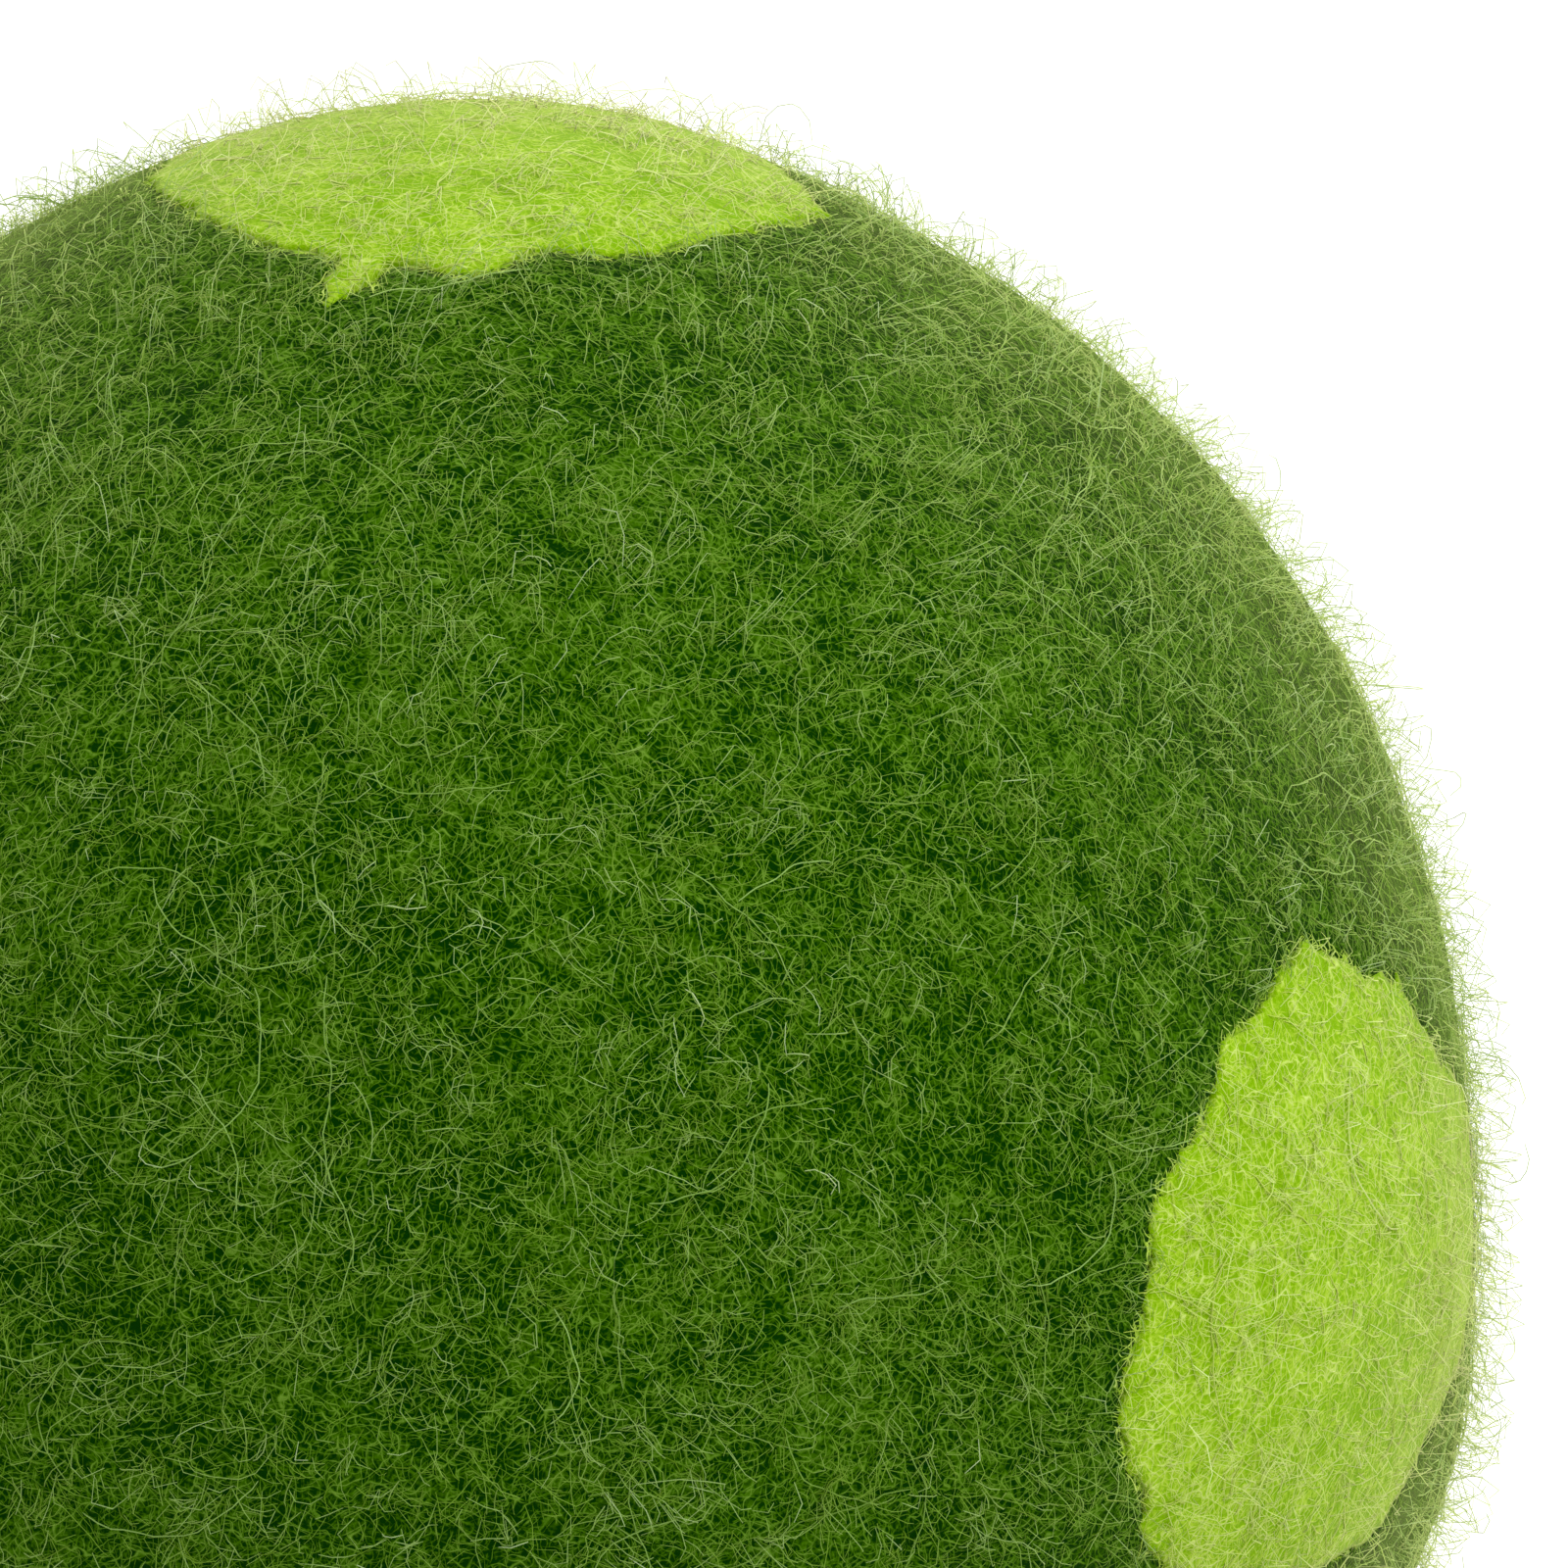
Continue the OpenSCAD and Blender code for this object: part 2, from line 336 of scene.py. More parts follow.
def felt_skin(name, own_colours, other_colours, bloom):
    """Wet-felted wool: a dense mat of fine fibres, with painted shade darkening its pits and lighter where
    fibres cross.
    Each set of fibres follows planes across one of ten spread axes, swayed by a noise, and every fibre
    sinks in and out of the mat by itself. They are drawn 0.08 mm thick, about twice the real wool, to show.
    Along a seam, where the mesh says so, specks of the other felt are worked in."""
    gap_mm, half_mm = 0.34, 0.04  # from one fibre of a set to the next, and half its thickness
    sway_mm, bend_mm = 0.6, 1.2  # how far a fibre sways, and over what length
    run_mm, speck_mm = 1.1, 0.5  # how long a fibre stays in sight, and the size of a speck at a seam
    set_shift, fibre_shift = 31.7, 5.3  # mm by which the noise of one set, or one fibre, stands off the next
    base, net = 0.15, 0.7  # height of the pits, and of the fibres over them
    tones = ((0.2, 0.8), (0.8, 0.5), (3.0, 0.4), (9.0, 0.25))  # sizes in mm and weights of uneven tones
    pit_shade_at, body_at, high_at = 0.12, 0.44, 0.9  # heights that have a felt's three colours; the pit colour is painted shade
    speck_weight, mat_weight, seam_weight = 1.2, 0.7, 2.2
    worked_from, worked_to = 1.85, 2.1  # sums of these three between which the other felt takes over
    rings = [(lean, 72.0 * k) for lean in (37.4, 79.2) for k in range(5)]
    material, tree, shader, in_mm = new_material(name)
    outward = add(tree, "ShaderNodeVectorMath", {0: in_mm, 1: tuple(middle / MM)}, operation="SUBTRACT")
    outward = add(tree, "ShaderNodeVectorMath", {0: outward}, operation="NORMALIZE")
    mat = None
    for turn, (lean, swing) in enumerate(rings):
        a, b = math.radians(lean), math.radians(swing)
        axis = (math.sin(a) * math.cos(b), math.sin(a) * math.sin(b), math.cos(a))
        moved = add(tree, "ShaderNodeVectorMath", {0: in_mm, 1: (set_shift * turn, 0.0, 0.0)},
                    operation="ADD")
        sway = add(tree, "ShaderNodeTexNoise", {"Vector": moved, "Scale": 1 / bend_mm, "Detail": 1.0})
        along = add(tree, "ShaderNodeVectorMath", {0: in_mm, 1: axis}, operation="DOT_PRODUCT")
        count = add(tree, "ShaderNodeMath", {0: sway, 1: 2 * sway_mm, 2: along.outputs["Value"]},
                    operation="MULTIPLY_ADD")
        count = add(tree, "ShaderNodeMath", {0: count, 1: 1 / gap_mm}, operation="MULTIPLY")
        off = add(tree, "ShaderNodeMath", {0: count, 1: 0.5}, operation="PINGPONG")
        near = add(tree, "ShaderNodeMapRange", {"Value": off, "From Min": half_mm / gap_mm, "From Max": 0.0},
                   interpolation_type="SMOOTHSTEP")
        which = add(tree, "ShaderNodeMath", {0: count}, operation="ROUND")
        slide = add(tree, "ShaderNodeVectorMath", {0: axis, "Scale": which}, operation="SCALE")
        slid = add(tree, "ShaderNodeVectorMath", {0: slide, 1: (fibre_shift,) * 3, 2: moved},
                   operation="MULTIPLY_ADD")
        depth = add(tree, "ShaderNodeTexNoise", {"Vector": slid, "Scale": 1 / run_mm, "Detail": 0.0})
        sink = add(tree, "ShaderNodeMapRange", {"Value": depth, "From Min": 0.42, "From Max": 0.68})
        across = add(tree, "ShaderNodeVectorMath", {0: outward, 1: axis}, operation="DOT_PRODUCT")
        across = add(tree, "ShaderNodeMath", {0: across.outputs["Value"]}, operation="ABSOLUTE")
        seen = add(tree, "ShaderNodeMapRange", {"Value": across, "From Min": 0.9, "From Max": 0.7})
        fibre = add(tree, "ShaderNodeMath", {0: near, 1: sink}, operation="MULTIPLY")
        fibre = add(tree, "ShaderNodeMath", {0: fibre, 1: seen}, operation="MULTIPLY")
        mat = fibre if mat is None else add(tree, "ShaderNodeMath", {0: mat, 1: fibre}, operation="MAXIMUM")
    height = add(tree, "ShaderNodeMath", {0: mat, 1: net, 2: base}, operation="MULTIPLY_ADD")
    for size_mm, weight in tones:
        patch = add(tree, "ShaderNodeTexNoise", {"Vector": in_mm, "Scale": 1 / size_mm, "Detail": 1.0})
        lift = add(tree, "ShaderNodeMath", {0: patch, 1: 0.5}, operation="SUBTRACT")
        height = add(tree, "ShaderNodeMath", {0: lift, 1: weight, 2: height}, operation="MULTIPLY_ADD")
    felts = []
    # Below the fibres the colour runs down to the pit colour: painted shade in the hollows of the mat
    for pit_shade, body, high in (own_colours, other_colours):
        tone = add(tree, "ShaderNodeValToRGB", {"Fac": height})
        tone.color_ramp.elements[0].color = linear(pit_shade)
        tone.color_ramp.elements[0].position = pit_shade_at
        tone.color_ramp.elements[1].color = linear(high)
        tone.color_ramp.elements[1].position = high_at
        tone.color_ramp.elements.new(body_at).color = linear(body)
        felts.append(tone)
    seam = add(tree, "ShaderNodeAttribute", attribute_name="other_felt").outputs["Fac"]
    speck = add(tree, "ShaderNodeTexNoise", {"Vector": in_mm, "Scale": 1 / speck_mm, "Detail": 2.0})
    worked = add(tree, "ShaderNodeMath", {0: speck, 1: speck_weight}, operation="MULTIPLY")
    worked = add(tree, "ShaderNodeMath", {0: mat, 1: mat_weight, 2: worked}, operation="MULTIPLY_ADD")
    worked = add(tree, "ShaderNodeMath", {0: seam, 1: seam_weight, 2: worked}, operation="MULTIPLY_ADD")
    worked = add(tree, "ShaderNodeMapRange",
                 {"Value": worked, "From Min": worked_from, "From Max": worked_to})
    colour = add(tree, "ShaderNodeMix", {0: worked, 6: felts[0], 7: felts[1]}, data_type="RGBA")
    bump = add(tree, "ShaderNodeBump", {"Height": height, "Strength": 0.5, "Distance": 0.1 * MM})
    tree.links.new(colour.outputs[2], shader.inputs["Base Color"])
    tree.links.new(bump.outputs[0], shader.inputs["Normal"])
    shader.inputs["Roughness"].default_value = 0.9
    shader.inputs["Specular IOR Level"].default_value = 0.0
    shader.inputs["Sheen Weight"].default_value = 0.24
    shader.inputs["Sheen Roughness"].default_value = 0.35
    shader.inputs["Sheen Tint"].default_value = linear(bloom)
    return material


def wool_fibre(name, dark, body, light, pale, bloom, haze):
    """Dyed wool fibre: each one took the dye a little differently, and a few stayed pale; fibres that lie
    high are also painted paler and those lying low darker, as painted light and shade.
    Matt, with a pale bloom where the felt turns away and its fibres are seen end to end."""
    tone_mm = 7.0
    material, tree, shader, in_mm = new_material(name)
    # The shade read here holds the fibre's dye and its painted light and shade by height
    own = add(tree, "ShaderNodeAttribute", attribute_name="shade")
    patch = add(tree, "ShaderNodeTexNoise", {"Vector": in_mm, "Scale": 1 / tone_mm, "Detail": 2.0})
    lift = add(tree, "ShaderNodeMath", {0: patch, 1: 0.4, 2: -0.2}, operation="MULTIPLY_ADD")
    total = add(tree, "ShaderNodeMath", {0: own.outputs["Fac"], 1: lift}, operation="ADD", use_clamp=True)
    tone = add(tree, "ShaderNodeValToRGB", {"Fac": total})
    tone.color_ramp.elements[0].color = linear(dark)
    tone.color_ramp.elements[1].color = linear(pale)
    for place, colour in ((0.5, body), (0.92, light)):
        tone.color_ramp.elements.new(place).color = linear(colour)
    tree.links.new(tone.outputs[0], shader.inputs["Base Color"])
    shader.inputs["Roughness"].default_value = 0.8
    shader.inputs["Specular IOR Level"].default_value = 0.0
    shader.inputs["Sheen Weight"].default_value = haze
    shader.inputs["Sheen Roughness"].default_value = 0.45
    shader.inputs["Sheen Tint"].default_value = linear(bloom)
    return material


def fibre_tree():
    """Geometry Nodes that root fibres on the form and lay each along it as a curl with tapered ends.
    A fibre that strays off its own colour dives under the felt that it meets."""
    tree = bpy.data.node_groups.new("wool_fibres", "GeometryNodeTree")
    io = tree.interface
    io.new_socket("Form", in_out="INPUT", socket_type="NodeSocketGeometry")
    sockets = [("Home", "String"), ("Fibres per m2", "Float"), ("Length", "Float"),
               ("Tightest curl", "Float"), ("Crimp", "Float"), ("Thickness", "Float"), ("Rise", "Float"),
               ("Stand", "Float"), ("Rooted at", "Float"), ("Clumping", "Float"), ("Points", "Int"),
               ("Seed", "Int"), ("Material", "Material")]
    for name, kind in sockets:
        io.new_socket(name, in_out="INPUT", socket_type="NodeSocket" + kind)
    io.new_socket("Fibres", in_out="OUTPUT", socket_type="NodeSocketGeometry")
    given = add(tree, "NodeGroupInput").outputs
    here = add(tree, "GeometryNodeInputPosition")
    index = add(tree, "GeometryNodeInputIndex")
    home = add(tree, "GeometryNodeInputNamedAttribute", {"Name": given["Home"]}, data_type="FLOAT")

    # Roots, on home ground only, and gathered in clumps where asked
    clump_mm, clump_crowd = 2.2, 2.5  # size of a clump, and how much thicker its fibres stand
    gather = add(tree, "ShaderNodeTexNoise", {"Vector": here, "Scale": 1 / (clump_mm * MM), "Detail": 1.0})
    gather = add(tree, "ShaderNodeMapRange",
                 {"Value": gather, "From Min": 0.42, "From Max": 0.68, "To Max": clump_crowd})
    gather = add(tree, "ShaderNodeMix", {0: given["Clumping"], 2: 1.0, 3: gather}, data_type="FLOAT")
    ground = add(tree, "ShaderNodeMath", {0: home, 1: 0.5}, operation="GREATER_THAN")
    thick = add(tree, "ShaderNodeMath", {0: given["Fibres per m2"], 1: ground}, operation="MULTIPLY")
    thick = add(tree, "ShaderNodeMath", {0: thick, 1: gather}, operation="MULTIPLY")
    roots = add(tree, "GeometryNodeDistributePointsOnFaces",
                {"Mesh": given["Form"], "Density": thick, "Seed": given["Seed"]})

    # What each fibre keeps: its root, its heading along the flow of the felt, and six chances
    flow_mm = 22.0
    drift = add(tree, "ShaderNodeTexNoise", {"Vector": here, "Scale": 1 / (flow_mm * MM), "Detail": 1.0})
    drift = add(tree, "ShaderNodeVectorMath", {0: drift.outputs["Color"], 1: (0.5, 0.5, 0.5)},
                operation="SUBTRACT")
    side = add(tree, "ShaderNodeVectorMath", {0: roots.outputs["Normal"], 1: drift},
               operation="CROSS_PRODUCT")
    side = add(tree, "ShaderNodeVectorMath", {0: side}, operation="NORMALIZE")
    keep = add(tree, "GeometryNodeCaptureAttribute", {"Geometry": roots.outputs["Points"]})
    wanted = [("VECTOR", "root", here), ("VECTOR", "up", roots.outputs["Normal"]), ("VECTOR", "side", side),
              ("INT", "fibre", index)]
    for turn, chance in enumerate(("heading", "curl", "long", "high", "phase", "shade")):
        draw = add(tree, "FunctionNodeRandomValue", {2: 0.0, 3: 1.0, "ID": index, "Seed": turn + 1})
        wanted.append(("FLOAT", chance, draw.outputs[1]))
    own = {}
    for kind, name, source in wanted:
        keep.capture_items.new(kind, name)
        if isinstance(source, bpy.types.Node):
            source = next(out for out in source.outputs if out.enabled)
        tree.links.new(source, keep.inputs[name])
        own[name] = keep.outputs[name]
    count = add(tree, "GeometryNodeAttributeDomainSize", {"Geometry": keep.outputs["Geometry"]},
                component="POINTCLOUD")
    strands = add(tree, "GeometryNodeDuplicateElements",
                  {"Geometry": keep.outputs["Geometry"], "Amount": given["Points"]}, domain="POINT")
    last = add(tree, "ShaderNodeMath", {0: given["Points"], 1: 1.0}, operation="SUBTRACT")
    along = add(tree, "ShaderNodeMath", {0: strands.outputs["Duplicate Index"], 1: last}, operation="DIVIDE")

    # The curl in the plane of the felt: an arc with the wool's crimp, which has a second, finer wave in it
    fan = 1.6  # radians to either side of the flow
    shortest, longest = 0.6, 1.4  # shares of the given length
    left, right = -1.0, 1.003  # the two ways to curl, uneven so that no fibre is quite straight
    crimp_mm, fine_crimp, fine_share = 4.2, 0.43, 0.4  # the crimp, and the length and reach of its finer wave
    spread = add(tree, "ShaderNodeMapRange", {"Value": own["heading"], "To Min": -fan, "To Max": fan})
    ahead = add(tree, "ShaderNodeVectorRotate", {"Vector": own["side"], "Axis": own["up"], "Angle": spread})
    across = add(tree, "ShaderNodeVectorMath", {0: own["up"], 1: ahead}, operation="CROSS_PRODUCT")
    long = add(tree, "ShaderNodeMapRange", {"Value": own["long"], "To Min": shortest, "To Max": longest})
    long = add(tree, "ShaderNodeMath", {0: long, 1: given["Length"]}, operation="MULTIPLY")
    from_root = add(tree, "ShaderNodeMath", {0: along, 1: given["Rooted at"]}, operation="SUBTRACT")
    run = add(tree, "ShaderNodeMath", {0: from_root, 1: long}, operation="MULTIPLY")
    bend = add(tree, "ShaderNodeMapRange", {"Value": own["curl"], "To Min": left, "To Max": right})
    bend = add(tree, "ShaderNodeMath", {0: bend, 1: given["Tightest curl"]}, operation="DIVIDE")
    angle = add(tree, "ShaderNodeMath", {0: run, 1: bend}, operation="MULTIPLY")
    sine = add(tree, "ShaderNodeMath", {0: angle}, operation="SINE")
    forward = add(tree, "ShaderNodeMath", {0: sine, 1: bend}, operation="DIVIDE")
    cosine = add(tree, "ShaderNodeMath", {0: angle}, operation="COSINE")
    sideways = add(tree, "ShaderNodeMath", {0: 1.0, 1: cosine}, operation="SUBTRACT")
    sideways = add(tree, "ShaderNodeMath", {0: sideways, 1: bend}, operation="DIVIDE")
    beat = add(tree, "ShaderNodeMath", {0: own["phase"], 1: 2 * math.pi}, operation="MULTIPLY")
    other = add(tree, "ShaderNodeMath", {0: own["long"], 1: 2 * math.pi}, operation="MULTIPLY")
    for length_mm, share, lag in ((crimp_mm, 1.0, beat), (fine_crimp * crimp_mm, fine_share, other)):
        wave = add(tree, "ShaderNodeMath", {0: run, 1: 2 * math.pi / (length_mm * MM), 2: lag},
                   operation="MULTIPLY_ADD")
        swing = add(tree, "ShaderNodeMath", {0: wave}, operation="SINE")
        reach = add(tree, "ShaderNodeMath", {0: given["Crimp"], 1: share}, operation="MULTIPLY")
        sideways = add(tree, "ShaderNodeMath", {0: swing, 1: reach, 2: sideways}, operation="MULTIPLY_ADD")
    step = add(tree, "ShaderNodeVectorMath", {0: ahead, "Scale": forward}, operation="SCALE")
    step = add(tree, "ShaderNodeVectorMath", {0: step, 1: own["root"]}, operation="ADD")
    aside = add(tree, "ShaderNodeVectorMath", {0: across, "Scale": sideways}, operation="SCALE")
    flat = add(tree, "ShaderNodeVectorMath", {0: step, 1: aside}, operation="ADD")

    # Laid on the form: over and under its neighbours, its ends tucked in or standing off
    weave_mm, weave_share = 1.4 * crimp_mm, 0.3  # length and height of its way over and under
    end_share, tuck_in = 0.18, 0.15 * MM  # how much of a fibre is its end, and how deep that is tucked in
    arch_least, arch_most = 1.3, 2.8  # radians of arch: still rising at its tip, or bent back down
    stray_slack, dive_depth = 0.55, 0.9 * MM  # how far some stray off home ground, and how deep they dive
    table_gap = 0.06 * MM
    normal = add(tree, "GeometryNodeInputNormal")
    ground_at = add(tree, "GeometryNodeSampleNearestSurface",
                    {"Mesh": given["Form"], "Value": here, "Sample Position": flat}, data_type="FLOAT_VECTOR")
    up_at = add(tree, "GeometryNodeSampleNearestSurface",
                {"Mesh": given["Form"], "Value": normal, "Sample Position": flat}, data_type="FLOAT_VECTOR")
    home_at = add(tree, "GeometryNodeSampleNearestSurface",
                  {"Mesh": given["Form"], "Value": home, "Sample Position": flat}, data_type="FLOAT")
    weave = add(tree, "ShaderNodeMath", {0: run, 1: 2 * math.pi / (weave_mm * MM), 2: other},
                operation="MULTIPLY_ADD")
    weave = add(tree, "ShaderNodeMath", {0: weave}, operation="COSINE")
    lie = add(tree, "ShaderNodeMath", {0: own["high"], 1: 2.0}, operation="POWER")
    lie = add(tree, "ShaderNodeMath", {0: weave, 1: weave_share, 2: lie}, operation="MULTIPLY_ADD")
    lie = add(tree, "ShaderNodeMath", {0: lie, 1: given["Rise"]}, operation="MULTIPLY")
    near_end = add(tree, "ShaderNodeMapRange", {"Value": along, "From Max": end_share},
                   interpolation_type="SMOOTHSTEP")
    far_end = add(tree, "ShaderNodeMapRange", {"Value": along, "From Min": 1.0, "From Max": 1 - end_share},
                  interpolation_type="SMOOTHSTEP")
    both_ends = add(tree, "ShaderNodeMath", {0: near_end, 1: far_end}, operation="MULTIPLY")
    tuck = add(tree, "ShaderNodeMapRange", {"Value": both_ends, "To Min": -tuck_in, "To Max": 0.0})
    lie = add(tree, "ShaderNodeMath", {0: lie, 1: both_ends, 2: tuck}, operation="MULTIPLY_ADD")
    arch = add(tree, "ShaderNodeMapRange", {"Value": own["phase"], "To Min": arch_least, "To Max": arch_most})
    arch = add(tree, "ShaderNodeMath", {0: arch, 1: along}, operation="MULTIPLY")
    arch = add(tree, "ShaderNodeMath", {0: arch}, operation="SINE")
    up_to = add(tree, "ShaderNodeMath", {0: own["high"], 1: 1.6}, operation="POWER")
    off = add(tree, "ShaderNodeMath", {0: arch, 1: up_to}, operation="MULTIPLY")
    lie = add(tree, "ShaderNodeMath", {0: off, 1: given["Stand"], 2: lie}, operation="MULTIPLY_ADD")
    edge = add(tree, "ShaderNodeMath", {0: own["phase"], 1: stray_slack, 2: home_at},
               operation="MULTIPLY_ADD")
    dive = add(tree, "ShaderNodeMapRange",
               {"Value": edge, "From Min": 0.62, "From Max": 0.3, "To Max": -dive_depth})
    lie = add(tree, "ShaderNodeMath", {0: lie, 1: dive}, operation="ADD")
    raised = add(tree, "ShaderNodeVectorMath", {0: up_at, "Scale": lie}, operation="SCALE")
    place = add(tree, "ShaderNodeVectorMath", {0: raised, 1: ground_at}, operation="ADD")
    above_table = add(tree, "ShaderNodeVectorMath", {0: place, 1: (-1.0, -1.0, table_gap)},
                      operation="MAXIMUM")
    laid = add(tree, "GeometryNodeSetPosition",
               {"Geometry": strands.outputs["Geometry"], "Position": above_table})

    # Spun into a three-sided tube, tapered to both ends, with a map that gives each fibre its own cell
    thin = add(tree, "ShaderNodeMapRange", {"Value": own["high"], "To Min": 0.75, "To Max": 1.15})
    thin = add(tree, "ShaderNodeMath", {0: thin, 1: given["Thickness"]}, operation="MULTIPLY")
    taper = add(tree, "ShaderNodeMapRange", {"Value": both_ends, "To Min": 0.35, "To Max": 0.5})
    taper = add(tree, "ShaderNodeMath", {0: taper, 1: thin}, operation="MULTIPLY")
    hold = add(tree, "GeometryNodeCaptureAttribute", {"Geometry": laid})
    for name, source in (("along", along), ("half", taper)):
        hold.capture_items.new("FLOAT", name)
        tree.links.new(source.outputs[0], hold.inputs[name])
    curls = add(tree, "GeometryNodePointsToCurves",
                {"Points": hold.outputs["Geometry"], "Curve Group ID": own["fibre"],
                 "Weight": hold.outputs["along"]})
    ring = add(tree, "GeometryNodeCurvePrimitiveCircle", {"Resolution": 3, "Radius": 1.0})
    tube = add(tree, "GeometryNodeCurveToMesh",
               {"Curve": curls, "Profile Curve": ring, "Scale": hold.outputs["half"], "Fill Caps": True})
    by_height, by_dye = 0.55, 0.45  # a fibre is painted paler where it lies high, as if lit more there, and darker where it lies low, as painted shade; it is also paler where it took less dye
    painted_light_and_dye = add(tree, "ShaderNodeMath", {0: own["high"], 1: by_height}, operation="MULTIPLY")
    painted_light_and_dye = add(tree, "ShaderNodeMath", {0: own["shade"], 1: by_dye, 2: painted_light_and_dye}, operation="MULTIPLY_ADD")
    shaded = add(tree, "GeometryNodeStoreNamedAttribute",
                 {"Geometry": tube, "Name": "shade", "Value": painted_light_and_dye}, data_type="FLOAT", domain="POINT")
    columns = add(tree, "ShaderNodeMath", {0: count.outputs["Point Count"]}, operation="SQRT")
    columns = add(tree, "ShaderNodeMath", {0: columns}, operation="CEIL")
    column = add(tree, "ShaderNodeMath", {0: own["fibre"], 1: columns}, operation="MODULO")
    row = add(tree, "ShaderNodeMath", {0: own["fibre"], 1: columns}, operation="DIVIDE")
    row = add(tree, "ShaderNodeMath", {0: row}, operation="FLOOR")
    corner = add(tree, "GeometryNodeVertexOfCorner")
    third = add(tree, "ShaderNodeMath", {0: corner, 1: 3.0}, operation="MODULO")
    across_cell = add(tree, "ShaderNodeMapRange",
                      {"Value": third, "From Max": 2.0, "To Min": 0.2, "To Max": 0.8})
    along_cell = add(tree, "ShaderNodeMapRange",
                     {"Value": hold.outputs["along"], "To Min": 0.1, "To Max": 0.7})
    lean = add(tree, "ShaderNodeMath", {0: third, 1: 1.0}, operation="COMPARE")
    along_cell = add(tree, "ShaderNodeMath", {0: lean, 1: 0.1, 2: along_cell}, operation="MULTIPLY_ADD")
    across_cell = add(tree, "ShaderNodeMath", {0: across_cell, 1: column}, operation="ADD")
    along_cell = add(tree, "ShaderNodeMath", {0: along_cell, 1: row}, operation="ADD")
    u = add(tree, "ShaderNodeMath", {0: across_cell, 1: columns}, operation="DIVIDE")
    v = add(tree, "ShaderNodeMath", {0: along_cell, 1: columns}, operation="DIVIDE")
    cell = add(tree, "ShaderNodeCombineXYZ", {"X": u, "Y": v})
    mapped = add(tree, "GeometryNodeStoreNamedAttribute",
                 {"Geometry": shaded, "Name": "OFBake", "Value": cell}, data_type="FLOAT2", domain="CORNER")
    soft = add(tree, "GeometryNodeSetShadeSmooth", {"Geometry": mapped})
    real = add(tree, "GeometryNodeRealizeInstances", {"Geometry": soft})
    dressed = add(tree, "GeometryNodeSetMaterial", {"Geometry": real, "Material": given["Material"]})
    add(tree, "NodeGroupOutput", {"Fibres": dressed})
    return tree


fibres = fibre_tree()
own_round = 0.7  # how far a fibre is shaded as a round thread, beside the felt that it lies in


def shade_as_felt(mesh):
    """Turns the normals of fibres towards the ball's own, because light soaks through threads this thin."""
    count = len(mesh.vertices)
    points, turned = np.empty(3 * count), np.empty(3 * count)
    mesh.vertices.foreach_get("co", points)
    mesh.vertices.foreach_get("normal", turned)
    outward = points.reshape(-1, 3) - np.array(middle)
    outward /= np.linalg.norm(outward, axis=1, keepdims=True)
    mixed = outward + own_round * turned.reshape(-1, 3)
    mixed /= np.linalg.norm(mixed, axis=1, keepdims=True)
    mesh.normals_split_custom_set_from_vertices(mixed)


def lay_fibres(name, sizes):
    """Runs the fibre nodes over the form with these inputs and returns the fibres as a plain mesh piece."""
    guide = make_piece(name + "_guide", form_points, form_faces, sizes["Material"])
    shares = {"cover": cover_share, **spot_share}
    mark(guide, sizes["Home"], shares[sizes["Home"]])
    modifier = guide.modifiers.new("fibres", "NODES")
    modifier.node_group = fibres
    named = {s.name: s.identifier for s in fibres.interface.items_tree if s.in_out == "INPUT"}
    for key, value in sizes.items():
        modifier[named[key]] = value
    grown = guide.evaluated_get(bpy.context.evaluated_depsgraph_get())
    mesh = bpy.data.meshes.new_from_object(grown)
    mesh.name = name
    shade_as_felt(mesh)
    guide.modifiers.remove(modifier)
    old = guide.data
    bpy.data.objects.remove(guide)
    bpy.data.meshes.remove(old)
    piece = bpy.data.objects.new(name, mesh)
    bpy.context.scene.collection.objects.link(piece)
    return piece


def cover_shell(material):
    """The felt shell: its outside on the form, let down under each spot, its inside smooth on the core."""
    drop = smooth_step(tuck_from, 1.0, 1 - cover_share) * spot_tuck
    outer = form_points - form_ways * drop[:, None]
    inner_ways, inner_faces = unit_sphere(core_detail)
    inner = inner_ways * (ball_r - felt_t) + np.array(middle)
    faces = np.vstack([form_faces, inner_faces[:, ::-1] + len(outer)])
    piece = make_piece("felt_cover_skin", np.vstack([outer, inner]), faces, material)
    mark(piece, "other_felt", np.append(1 - cover_share, np.zeros(len(inner))))
    return piece


# Pit, body and high colours of each felt; the pit colour is painted shade between the fibres
green_tones = ("#022200", "#2c4e00", "#4e6c20")
lime_tones = ("#5e8400", "#7e9a24", "#98aa58")
green_bloom, lime_bloom = "#f2ffa0", "#ffecc4"
green_felt = felt_skin("dark_green_wet_felt", green_tones, lime_tones, green_bloom)
green_haze, lime_haze = 1.0, 0.8
green_wool = wool_fibre("dark_green_wool_fibre", "#284800", "#405e04", "#667e42", "#8e9e74",
                        green_bloom, green_haze)
long_green = wool_fibre("long_green_wool_fibre", "#40600e", "#567430", "#6e8a4c", "#869a68",
                        green_bloom, green_haze)
loose_green = wool_fibre("loose_green_wool_fibre", "#3c5c04", "#547220", "#708850", "#8a9c74",
                         green_bloom, green_haze)
cover = cover_shell(green_felt)
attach(cover, "ball")
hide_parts("felt_cover")

